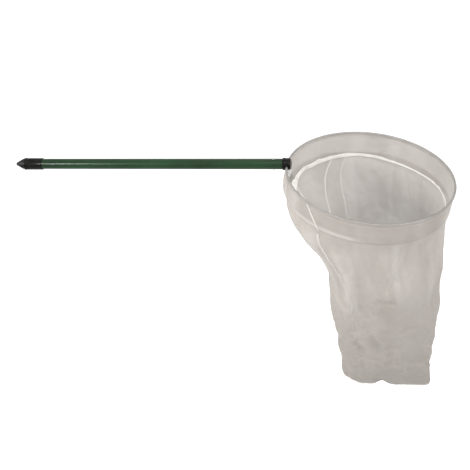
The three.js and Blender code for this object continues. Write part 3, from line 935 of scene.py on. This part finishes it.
    def face_inner_as_tape(self, piece: bpy.types.Object, tape: bpy.types.Material) -> None:
        """Puts the tape on the hem's inner faces, and on all of them at the near rear; the pale inner
        faces also paint light on the inside of the hem.
        """
        piece.data.materials.append(tape)
        for face in piece.data.polygons:
            radial = face.center - HOOP.centre
            radial -= HOOP.normal * radial.dot(HOOP.normal)
            turn = math.degrees(math.atan2(radial.y, -radial.dot(HOOP.along)))
            # Painted light: the pale tape on the inner faces also makes the inside of the hem lighter
            # than its outside.
            inner = face.normal.dot(radial.normalized()) < 0.35
            face.material_index = 1 if inner or self.taped[0] < turn < self.taped[1] else 0

    def joint_tape(self) -> bpy.types.Object:
        """Builds the tape sewn over the collar's two ends under the plug."""
        half = math.asin(self.tape_width / 2 / HOOP.radius)
        depth = self.tape_top - self.bottom

        def place(across: float, down: float) -> Vector:
            """Finds a point of the tape."""
            angle = -half + 2 * half * across
            height = self.tape_top - depth * down
            edge = 0.0008 * noise.noise(Vector((across * 4.0, down * 4.0, 8.0)))
            out = HOOP.radius + 0.0021 - self.taper * self.slope(height) + edge
            return HOOP.point(angle, out + self.slack(angle, height), height)

        piece = ClothGrid("joint_tape_sewn", 24, 18, place, self.tape_width, depth).build()
        thickened(piece, 0.0008, 1)
        return piece

    def stitches(self, name: str, out: float, height: float, skip: float,
                 inner: bool) -> bpy.types.Object:
        """Builds a row of stitches round the collar.

        Args:
            name: The row's name.
            out: How far the stitches stand out of the wire's circle.
            height: The row's height from the hoop's plane.
            skip: The angle at each side of the handle that has no stitches.
            inner: Whether the row is on the inner ply.

        Returns:
            The row of stitches.
        """
        mesh = bmesh.new()
        count = int((math.tau - 2 * skip) * HOOP.radius / self.stitch_pitch)
        for stitch in range(count):
            angle = skip + (math.tau - 2 * skip) * (stitch + 0.5) / count
            inward = self.drawn(angle, height) if inner else 0.0
            radius = HOOP.radius + out + self.slack(angle, height) - inward
            middle = HOOP.point(angle, radius, height)
            ahead = HOOP.point(angle + 0.01, HOOP.radius, height)
            ahead -= HOOP.point(angle - 0.01, HOOP.radius, height)
            ahead.normalize()
            aside = HOOP.normal.cross(ahead)
            turn = Matrix((ahead, aside, HOOP.normal)).transposed().to_4x4()
            size = Matrix.Diagonal((self.stitch_pitch * self.stitch_fill, *self.stitch_thick, 1.0))
            bmesh.ops.create_uvsphere(mesh, u_segments=6, v_segments=4, radius=1.0,
                                      matrix=Matrix.Translation(middle) @ turn @ size)
        return finished(name, mesh, 60.0)

    def seam(self) -> bpy.types.Object:
        """Builds the seam across the collar's outer ply, above the bag's side seam."""
        def place(across: float, down: float) -> Vector:
            """Finds a point of the seam."""
            height = self.seam_start + (self.bottom - self.seam_start) * down
            angle = self.seam_top + (self.seam_foot - self.seam_top) * down
            lean = self.taper * self.slope(height)
            crown = 0.0003 * (1.0 - (2 * across - 1) ** 4)
            out = HOOP.radius + self.ply_gap + 0.0004 - lean + crown + self.slack(angle, height)
            wide = self.seam_width * (across - 0.5) / HOOP.radius
            return HOOP.point(angle + wide, out, height)

        piece = ClothGrid("collar_seam_felled", 6, 20, place, self.seam_width, 0.055).build()
        thickened(piece, 0.0005, 0)
        return piece

    def build(self) -> None:
        """Builds and dresses the collar."""
        netting = Netting("collar_mesh_cloth", cover=(0.20, 0.48), crumple=0.3,
                          open_at=self.section(0.5)[2], pleats_painted_light=self.pleats_painted_light).build()
        tape = WovenTape("hem_tape_woven").build()
        thread = WovenTape("sewing_thread", (0.50, 0.46, 0.42), (0.62, 0.58, 0.54), 0.0006).build()
        band = dress(self.band(), netting, Slot.COLLAR, "rim_collar")
        dense = Netting("hem_mesh_cloth", cover=(0.5, 0.8), crumple=0.2).build()
        hem = dress(self.hem(), dense, Slot.TAPE, "collar_hem")
        self.face_inner_as_tape(hem, tape)
        joint = dress(self.joint_tape(), tape, Slot.TAPE, "collar_joint_tape")
        skip = math.asin(self.end_gap / 2 / HOOP.radius)
        places = (
            ("casing_stitches", 0.0, self.ply_gap + 0.0004, -self.casing - 0.0008, skip),
            ("hem_stitches", -self.taper, self.ply_gap + 0.0005, self.bottom + 0.0022, 0.14),
        )
        rows = []
        for name, middle, away, height, free in places:
            rows.append(self.stitches(f"{name}_outer", middle + away, height, free, False))
            rows.append(self.stitches(f"{name}_inner", middle - away, height, free, True))
        for row in rows:
            dress(row, thread, Slot.SEAM)
        pale = Netting("collar_seam_cloth", (0.72, 0.68, 0.64), (0.84, 0.81, 0.77),
                       cover=(0.5, 0.85), crumple=0.2).build()
        seam = dress(self.seam(), pale, Slot.SEAM)
        for piece in [band, hem, joint, seam, *rows]:
            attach(piece, Body.FRAME.value)


@dataclass(frozen=True)
class Settling:
    """How the bag's cloth settles under its own weight."""

    frames: int = 24
    quality: int = 6
    mass: float = 0.06
    growth: float = 0.025
    tension: float = 12.0
    bending: float = 0.06
    damping: float = 3.0
    hold: float = 0.22
    cap: float = 0.010

    def run(self, piece: bpy.types.Object, held: Sequence[float]) -> None:
        """Simulates the cloth and keeps the result in the mesh.

        Args:
            piece: The cloth.
            held: How firmly each vertex keeps its place, from 0 to 1.
        """
        group = piece.vertex_groups.new(name="held")
        for index, weight in enumerate(held):
            group.add([index], weight, "REPLACE")
        cloth = piece.modifiers.new("settling", "CLOTH")
        settings = cloth.settings
        settings.quality = self.quality
        settings.mass = self.mass
        settings.tension_stiffness = self.tension
        settings.compression_stiffness = self.tension
        settings.shear_stiffness = self.tension / 3
        settings.bending_stiffness = self.bending
        settings.air_damping = self.damping
        settings.shrink_min = -self.growth
        settings.vertex_group_mass = "held"
        settings.pin_stiffness = 1.0
        cloth.point_cache.frame_start = 1
        cloth.point_cache.frame_end = self.frames
        rest = [vert.co.copy() for vert in piece.data.vertices]
        scene = bpy.context.scene
        for frame in range(1, self.frames + 1):
            scene.frame_set(frame)
        shown = piece.evaluated_get(bpy.context.evaluated_depsgraph_get())
        moved = [vert.co.copy() for vert in shown.data.vertices]
        piece.modifiers.remove(cloth)
        piece.vertex_groups.clear()
        scene.frame_set(1)
        far = 0.0
        for vert, start, end in zip(piece.data.vertices, rest, moved):
            step = end - start
            far = max(far, step.length)
            vert.co = start + step * (min(1.0, self.cap / step.length) if step.length > 0 else 0.0)
        log.info("%s settled, at most %.1f mm", piece.name, far * 1000)


@dataclass(frozen=True)
class Crease:
    """A crease pressed into the bag's wall between two places, each a share across and down."""

    start: tuple[float, float]
    end: tuple[float, float]
    depth: float = 0.0045
    width: float = 0.009


CREASES = (
    Crease((0.756, 0.376), (0.719, 0.376), 0.0040),
    Crease((0.681, 0.557), (0.662, 0.550), 0.0050),
    Crease((0.794, 0.430), (0.769, 0.483), 0.0040),
    Crease((0.719, 0.631), (0.719, 0.705), 0.0055),
    Crease((0.838, 0.698), (0.781, 0.691), 0.0050),
    Crease((0.631, 0.705), (0.556, 0.765), 0.0060),
    Crease((0.606, 0.638), (0.545, 0.670), 0.0050),
    Crease((0.560, 0.700), (0.500, 0.715), -0.0045),
    Crease((0.675, 0.752), (0.669, 0.698), 0.0045),
    Crease((0.919, 0.416), (0.850, 0.490), -0.0060, 0.012),
    Crease((0.725, 0.295), (0.700, 0.242), 0.0035),
    Crease((0.819, 0.611), (0.806, 0.651), 0.0045),
    Crease((0.800, 0.154), (0.850, 0.416), -0.0045, 0.014),
)


@dataclass
class Bag:
    """The netting bag that hangs from the hem, with its side seam and its bound bottom edge."""

    swing_centre: tuple[float, float, float] = (0.602854, 0.0, -0.078246)
    top_radius: float = 0.1652
    depth: float = 0.511
    thickness: float = 0.0005
    columns: int = 112
    rows: int = 96
    ring_steps: int = 200
    flat_width: float = 1.04
    flat_area: float = 0.40
    top_rise: float = 0.0062
    roll_radius: float = 0.0030
    notch_at: float = 0.41
    fold_swell: float = 0.0035
    crumple_swell: tuple[float, float] = (0.0006, 0.0036)
    groove_depth: tuple[float, float] = (0.0002, 0.0046)
    groove_width: float = 0.22
    crumple_warp: float = 0.022
    seam_turn: float = math.radians(-60.0)
    seam_width: float = 0.006
    seam_run: tuple[float, float] = (0.012, 0.975)
    blend_depth: float = 0.22
    wall_length: float = 0.56
    rings: tuple[tuple[float, float, float, float, float], ...] = (
        (0.995, 0.004, 0.950, 0.091, 0.960),
        (0.870, 0.091, 0.930, 0.159, 0.928),
        (0.685, 0.178, 0.920, 0.236, 0.905),
        (0.578, 0.266, 0.915, 0.314, 0.890),
        (0.530, 0.343, 0.882, 0.380, 0.838),
        (0.546, 0.430, 0.865, 0.453, 0.770),
        (0.545, 0.566, 0.855, 0.578, 0.650),
        (0.510, 0.721, 0.822, 0.725, 0.490),
        (0.484, 0.857, 0.792, 0.857, 0.318),
        (0.450, 0.958, 0.774, 0.953, 0.146),
        (0.392, 0.991, 0.765, 0.983, 0.067),
        (0.360, 1.008, 0.756, 1.000, 0.015),
    )
    # Painted light: lighter fold lines on the far wall, where the doubled cloth is also denser, and
    # broad lighter bands on the sides.
    pleats_painted_light: tuple[Pleat, ...] = (
        Pleat((0.162, 0.03), (0.088, 0.262), 0.0045, 1.0),
        Pleat((0.056, 0.095), (0.055, 0.165), 0.0050, 1.0),
        Pleat((0.194, 0.03), (0.138, 0.289), 0.0040, 0.55),
        Pleat((0.206, 0.03), (0.156, 0.309), 0.030, 0.22),
        Pleat((0.125, 0.06), (0.044, 0.215), 0.020, 0.28),
        Pleat((0.294, 0.06), (0.256, 0.349), 0.012, 0.18),
        Pleat((0.681, 0.06), (0.694, 0.255), 0.014, 0.20),
        Pleat((0.662, 0.101), (0.725, 0.295), 0.006, 0.16),
        Pleat((0.790, 0.130), (0.835, 0.400), 0.034, 0.25),
        Pleat((0.594, 0.107), (0.594, 0.436), 0.024, 0.12),
        Pleat((0.860, 0.080), (0.900, 0.300), 0.040, 0.30),
    )
    levels: list[float] = field(default_factory=list)

    def __post_init__(self) -> None:
        """Measures the bag's wall down to each of its rings."""
        self.levels = [0.0]
        rings = [self.ring(step / self.ring_steps) for step in range(self.ring_steps + 1)]
        for above, below in zip(rings, rings[1:]):
            run = ((above[0] - below[0]).length + (above[1] - below[1]).length) / 2
            self.levels.append(self.levels[-1] + run)
        self.levels = [level / self.levels[-1] for level in self.levels]

    def share_at(self, down: float) -> float:
        """Finds the ring's share at a share of the wall's length."""
        step = min(bisect_right(self.levels, down), self.ring_steps)
        low, high = self.levels[step - 1], self.levels[step]
        return (step - 1 + (down - low) / max(high - low, 1e-9)) / self.ring_steps

    def down_at(self, share: float) -> float:
        """Finds the share of the wall's length down to a ring's share."""
        place = share * self.ring_steps
        step = min(int(place), self.ring_steps - 1)
        low, high = self.levels[step], self.levels[step + 1]
        return low + (high - low) * (place - step)

    def on_flat(self, place: tuple[float, float]) -> tuple[float, float]:
        """Finds a place on the flat cut, in metres, from its shares across and down."""
        return place[0] * self.flat_width, self.down_at(place[1]) * self.wall_length

    def pressed(self, across: float, down: float, girth: float) -> float:
        """Adds up how far the creases push the wall in at a place."""
        total = 0.0
        for crease in CREASES:
            (x0, y0), (x1, y1) = crease.start, crease.end
            start = Vector((x0 * girth, self.down_at(y0) * self.wall_length))
            end = Vector((x1 * girth, self.down_at(y1) * self.wall_length))
            here = Vector((across * girth, down * self.wall_length))
            run = end - start
            part = min(1.0, max(0.0, (here - start).dot(run) / run.length_squared))
            away = (here - start - run * part).length
            total += crease.depth * math.exp(-((away / crease.width) ** 2))
        return total

    def ring(self, share: float) -> tuple[Vector, Vector, float]:
        """Finds a ring of the bag: its rear point, its front point and its half width."""
        cos, sin = math.cos(HOOP.droop), math.sin(HOOP.droop)
        slope = sin * self.top_radius / self.depth
        rows = [(cos, -slope, cos, slope, 1.0), *self.rings]
        rear_x, rear_z, front_x, front_z, half = spline(rows, share)
        centre = Vector(self.swing_centre)
        rear = centre + Vector((-rear_x * self.top_radius, 0.0, -rear_z * self.depth))
        front = centre + Vector((front_x * self.top_radius, 0.0, -front_z * self.depth))
        return rear, front, half * self.top_radius

    def lift(self, along: float) -> float:
        """Finds how far the bottom edge rises at a share of its length."""
        rear = 0.012 * (1.0 - smoothstep(0.0, 0.15, along))
        front = 0.004 * smoothstep(0.93, 1.0, along)
        notch = 0.013 * max(0.0, 1.0 - abs(along - self.notch_at) / 0.13) ** 1.6
        return rear + front + notch

    def place(self, across: float, down: float) -> Vector:
        """Finds a point of the bag before it settles."""
        share = self.share_at(down)
        rear, front, half = self.ring(share)
        angle = across * math.tau
        middle, reach = (rear + front) / 2, (front - rear) / 2
        along = (1.0 - math.cos(angle)) / 2
        point = middle - reach * math.cos(angle)
        point.y += half * math.sin(angle)
        out = Vector((-math.cos(angle) * reach.length, half * math.sin(angle), 0.0))
        out = out.normalized() if out.length > 1e-9 else Vector((0.0, 1.0, 0.0))
        free = smoothstep(0.0, 0.08, share)
        folds = noise.noise(Vector((point.x * 11.0, point.y * 11.0, point.z * 5.0)))
        swell = self.fold_swell * folds * (1.0 + smoothstep(0.30, 0.75, share))
        gather = smoothstep(0.74, 0.99, share)
        beside = bump_at(self.notch_at - 0.11, 0.05, along) + bump_at(self.notch_at + 0.11, 0.05, along)
        pull = gather * (0.010 * bump_at(self.notch_at, 0.05, along) - 0.004 * beside)
        point += out * swell * free
        point.y -= pull * math.copysign(min(1.0, half / 0.02), math.sin(angle))
        point += out * 0.0017 * (1.0 - smoothstep(0.0, 0.05, share))
        point += HOOP.normal * self.top_rise * (1.0 - smoothstep(0.0, 0.03, share))
        point.z += self.lift(along) * smoothstep(0.84, 1.0, share)
        return point

    def crumple(self, point: Vector, share: float) -> tuple[float, float]:
        """Finds how far a crumpled wall stands out at a point, and how sharply it is creased."""
        low = smoothstep(0.30, 0.70, share) * (1.0 - 0.6 * smoothstep(0.95, 1.0, share))
        swell = self.crumple_swell[0] + self.crumple_swell[1] * low
        depth = self.groove_depth[0] + self.groove_depth[1] * low
        fine = noise.noise(Vector((point.x * 27.0, point.y * 27.0, point.z * 19.0 + 5.0)))
        bent = point + drift(point * 19.0) * self.crumple_warp
        near, far = noise.voronoi(Vector((bent.x * 15.0, bent.y * 15.0, bent.z * 10.0)))[0][:2]
        here = smoothstep(-0.12, 0.20, noise.noise(point * 13.0 + Vector((4.0, 0.0, 0.0))))
        groove = here * (1.0 - min(1.0, (far - near) / self.groove_width))
        return fine * swell - groove * depth, groove * low

    def crumpled(self, piece: bpy.types.Object, grid: ClothGrid) -> None:
        """Presses the creases and crumples into the settled wall, and notes where it is folded, for
        denser cloth and painted shade there.
        """
        piece.data.update()
        outward = [vert.normal.copy() for vert in piece.data.vertices]
        layer = piece.data.attributes.new(FOLD_LAYER, "FLOAT", "POINT")
        for index, (across, down) in enumerate(grid.shares):
            vert = piece.data.vertices[index]
            share = self.share_at(down)
            rear, front, half = self.ring(share)
            reach = (front - rear).length / 2
            girth = math.tau * math.sqrt((reach * reach + half * half) / 2)
            swell, groove = self.crumple(vert.co, share)
            crease = self.pressed(across, down, girth)
            vert.co += outward[index] * (swell - crease) * smoothstep(0.02, 0.10, share)
            # The layer marks denser doubled cloth and where the netting paints shade into the creases.
            layer.data[index].value = min(1.0, groove * 0.5 + abs(crease) / 0.0045)
        piece.data.update()

    def body(self) -> tuple[bpy.types.Object, ClothGrid]:
        """Builds the bag and lets it settle."""
        grid = ClothGrid("bag_netting_body", self.columns, self.rows, self.place, self.flat_width,
                         self.wall_length, True)
        piece = grid.build()
        steady = Settling()
        held = []
        for _, down in grid.shares:
            top = 1.0 - smoothstep(0.012, 0.10, down)
            foot = smoothstep(0.80, 0.98, down)
            held.append(max(steady.hold, top, foot))
        steady.run(piece, held)
        self.crumpled(piece, grid)
        return piece, grid

    def surface(self, piece: bpy.types.Object, grid: ClothGrid) -> Callable[[float, float], Vector]:
        """Makes a function that finds a point of the settled bag from its two shares.

        Args:
            piece: The settled bag.
            grid: The grid that it was built from.

        Returns:
            The function of the share across and the share down.
        """
        net = {}
        for vert, (across, down) in zip(piece.data.vertices, grid.shares):
            column = round(across * self.columns) % self.columns
            net[(column, round(down * self.rows))] = vert.co.copy()

        def find(across: float, down: float) -> Vector:
            """Finds a point between the four nearest vertices."""
            x, y = across % 1.0 * self.columns, min(down, 0.99999) * self.rows
            i, j = int(x), int(y)
            u, v = x - i, y - j
            left, right = i % self.columns, (i + 1) % self.columns
            upper, lower = (net[(left, row)].lerp(net[(right, row)], u) for row in (j, j + 1))
            return upper.lerp(lower, v)

        return find

    def side_seam(self, find: Callable[[float, float], Vector]) -> bpy.types.Object:
        """Builds the felled seam as a raised strip that follows the settled bag."""
        turn = self.seam_turn / math.tau

        def place(across: float, down: float) -> Vector:
            """Finds a point of the seam."""
            place_down = self.seam_run[0] + self.seam_run[1] * down
            share = self.share_at(place_down)
            here = find(turn, place_down)
            step = find(turn + 0.004, place_down) - find(turn - 0.004, place_down)
            drop = find(turn, place_down + 0.008) - find(turn, place_down - 0.008)
            step.normalize()
            out = drop.cross(step).normalized()
            rear, front, _ = self.ring(share)
            if out.dot(here - (rear + front) / 2) < 0:
                out.negate()
            crown = 0.0004 * (1.0 - (2 * across - 1) ** 4) * max(0.0, 1.0 - 1.7 * down)
            wander = 0.0006 * noise.noise(Vector((down * 30.0, 2.0, 0.0)))
            wide = self.seam_width * (1.0 - 0.5 * down) * (across - 0.5)
            return here + step * (wide + wander) + out * (0.0003 * (1.0 - down) + crown)

        piece = ClothGrid("bag_side_seam_felled", 6, 150, place, self.seam_width, 0.50).build()
        thickened(piece, 0.0005, 0)
        return piece

    def bottom_edge(self, find: Callable[[float, float], Vector]) -> bpy.types.Object:
        """Builds the rolled edge along the bag's bottom."""
        sides, steps, margin = 10, 90, 0.02

        def place(across: float, down: float) -> Vector:
            """Finds a point of the rolled edge."""
            angle = margin + (0.5 - 2 * margin) * down
            near = find(-angle, 1.0)
            far = find(angle, 1.0)
            middle = (near + far) / 2
            thick = self.roll_radius * (1.0 + 0.22 * noise.noise(Vector((down * 26.0, 0.0, 4.0))))
            thick *= 0.55 + 0.45 * smoothstep(0.0, 0.06, min(down, 1.0 - down))
            turn = across * math.tau
            upright = math.sin(turn) * thick * 1.1 - 0.0024
            return middle + Vector((0.0, math.cos(turn) * thick, upright))

        piece = ClothGrid("bag_bottom_rolled", sides, steps, place, 0.016, 0.20, True).build()
        capped(piece)
        return piece

    def build(self) -> None:
        """Builds and dresses the bag."""
        body, grid = self.body()
        find = self.surface(body, grid)
        seam = self.side_seam(find)
        edge = self.bottom_edge(find)
        thickened(body, self.thickness, 1)
        pleats_painted_light = tuple(Pleat(self.on_flat(p.start), self.on_flat(p.end), p.width, p.strength)
                       for p in self.pleats_painted_light)
        cloth = Netting("bag_mesh_cloth", length=self.wall_length, pleats_painted_light=pleats_painted_light).build()
        dress(body, cloth, Slot.BAG, "bag_body")
        # Painted shade: the seam's third colour darkens its lower end to match the bag's foot.
        strip = Netting("seam_mesh_cloth", (0.74, 0.70, 0.665), (0.86, 0.83, 0.79),
                        (0.47, 0.43, 0.392), cover=(0.42, 0.72), crumple=0.2, length=0.36).build()
        # Painted shade: the rolled edge takes the darker colour of the bag's shaded foot.
        roll = Netting("foot_painted_shade_cloth", (0.42, 0.382, 0.348), (0.50, 0.462, 0.426),
                       cover=(0.45, 0.75), crumple=0.3).build()
        dress(seam, strip, Slot.SEAM, "bag_side_seam")
        dress(edge, roll, Slot.SEAM, "bag_bottom_seam")
        for piece in (body, seam, edge):
            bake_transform(piece)


# The studio


@dataclass(frozen=True)
class Lamp:
    """A plain square lamp that faces the bag."""

    name: str
    place: tuple[float, float, float]
    size: float
    watts: float

    def build(self, target: Vector) -> None:
        """Puts the lamp in the scene, facing the target."""
        data = bpy.data.lights.new(self.name, "AREA")
        data.shape = "SQUARE"
        data.size = self.size
        data.energy = self.watts
        lamp = bpy.data.objects.new(self.name, data)
        lamp.location = self.place
        lamp.rotation_mode = "QUATERNION"
        lamp.rotation_quaternion = (target - lamp.location).to_track_quat("-Z", "Y")
        bpy.context.scene.collection.objects.link(lamp)


@dataclass(frozen=True)
class Studio:
    """The camera at the photograph's angle, the lamps, the surroundings and the floor."""

    camera_place: tuple[float, float, float] = (0.78096, -1.7238, 1.04061)
    camera_right: tuple[float, float, float] = (0.9763, 0.1853, -0.1115)
    camera_up: tuple[float, float, float] = (-0.0157, 0.5747, 0.8182)
    camera_back: tuple[float, float, float] = (0.21571, -0.79713, 0.56397)
    focal_share: float = 1000.1 / 470
    sensor: float = 36.0
    floor_height: float = -1.5
    ambient: float = 0.68
    floor_shade: float = 0.90
    floor_glow: float = 0.45
    aim: tuple[float, float, float] = (0.55, 0.0, -0.25)
    lamps: tuple[Lamp, ...] = (
        Lamp("key", (-1.06, -1.95, 1.20), 0.40, 26.0),
        Lamp("left", (-2.20, -0.70, 0.60), 1.6, 28.0),
        Lamp("right", (2.90, -0.90, 0.90), 1.6, 30.0),
        Lamp("top", (0.75, -1.30, 2.40), 2.0, 18.0),
        Lamp("back", (0.40, 2.20, 2.20), 2.0, 12.0),
    )

    def camera(self) -> None:
        """Makes the camera."""
        data = bpy.data.cameras.new("camera")
        data.lens, data.sensor_width = self.focal_share * self.sensor, self.sensor
        camera = bpy.data.objects.new("camera", data)
        turn = Matrix((self.camera_right, self.camera_up, self.camera_back)).transposed().to_4x4()
        camera.matrix_world = Matrix.Translation(self.camera_place) @ turn
        bpy.context.scene.collection.objects.link(camera)
        bpy.context.scene.camera = camera

    def surroundings(self) -> None:
        """Makes the world: white where it is seen, and soft light elsewhere."""
        world = bpy.data.worlds.new("surroundings")
        world.use_nodes = True
        bpy.context.scene.world = world
        nodes, links = world.node_tree.nodes, world.node_tree.links
        nodes.clear()
        rays = nodes.new("ShaderNodeLightPath")
        seen = rays.outputs["Is Camera Ray"]
        for kind in ("Is Glossy Ray", "Is Transmission Ray"):
            either = nodes.new("ShaderNodeMath")
            either.operation = "MAXIMUM"
            links.new(seen, either.inputs[0])
            links.new(rays.outputs[kind], either.inputs[1])
            seen = either.outputs[0]
        level = nodes.new("ShaderNodeMapRange")
        level.inputs["To Min"].default_value = self.ambient
        level.inputs["To Max"].default_value = 1.0
        links.new(seen, level.inputs["Value"])
        light = nodes.new("ShaderNodeBackground")
        light.inputs["Color"].default_value = (1.0, 1.0, 1.0, 1.0)
        links.new(level.outputs["Result"], light.inputs["Strength"])
        out = nodes.new("ShaderNodeOutputWorld")
        links.new(light.outputs["Background"], out.inputs["Surface"])

    def floor(self) -> None:
        """Makes the floor, far enough below the handle for the net to be held in a hand."""
        mesh = bmesh.new()
        bmesh.ops.create_grid(mesh, x_segments=4, y_segments=4, size=14.0,
                              matrix=Matrix.Translation((0.0, 0.0, self.floor_height)))
        piece = finished("floor", mesh)
        material = bpy.data.materials.new("floor_pale")
        material.use_nodes = True
        nodes, links = material.node_tree.nodes, material.node_tree.links
        nodes.clear()
        matt = nodes.new("ShaderNodeBsdfDiffuse")
        shade = self.floor_shade
        matt.inputs["Color"].default_value = (shade, shade, shade, 1.0)
        rays = nodes.new("ShaderNodeLightPath")
        glow = nodes.new("ShaderNodeEmission")
        glow.inputs["Color"].default_value = (1.0, 1.0, 1.0, 1.0)
        level = nodes.new("ShaderNodeMapRange")
        level.inputs["To Max"].default_value = self.floor_glow
        links.new(rays.outputs["Is Camera Ray"], level.inputs["Value"])
        links.new(level.outputs["Result"], glow.inputs["Strength"])
        both = nodes.new("ShaderNodeAddShader")
        links.new(matt.outputs[0], both.inputs[0])
        links.new(glow.outputs[0], both.inputs[1])
        out = nodes.new("ShaderNodeOutputMaterial")
        links.new(both.outputs[0], out.inputs["Surface"])
        piece.data.materials.append(material)

    def build(self) -> None:
        """Builds the studio."""
        self.camera()
        self.surroundings()
        self.floor()
        for lamp in self.lamps:
            lamp.build(Vector(self.aim))
        bpy.context.scene.view_settings.view_transform = "Standard"


def main() -> None:
    """Builds the net and its studio."""
    logging.basicConfig(level=logging.INFO, format="%(name)s: %(message)s")
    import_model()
    Studio().build()
    Handle().build()
    HoopWire().build()
    Collar().build()
    Bag().build()
    bpy.context.view_layer.update()


if __name__ == "__main__":
    main()
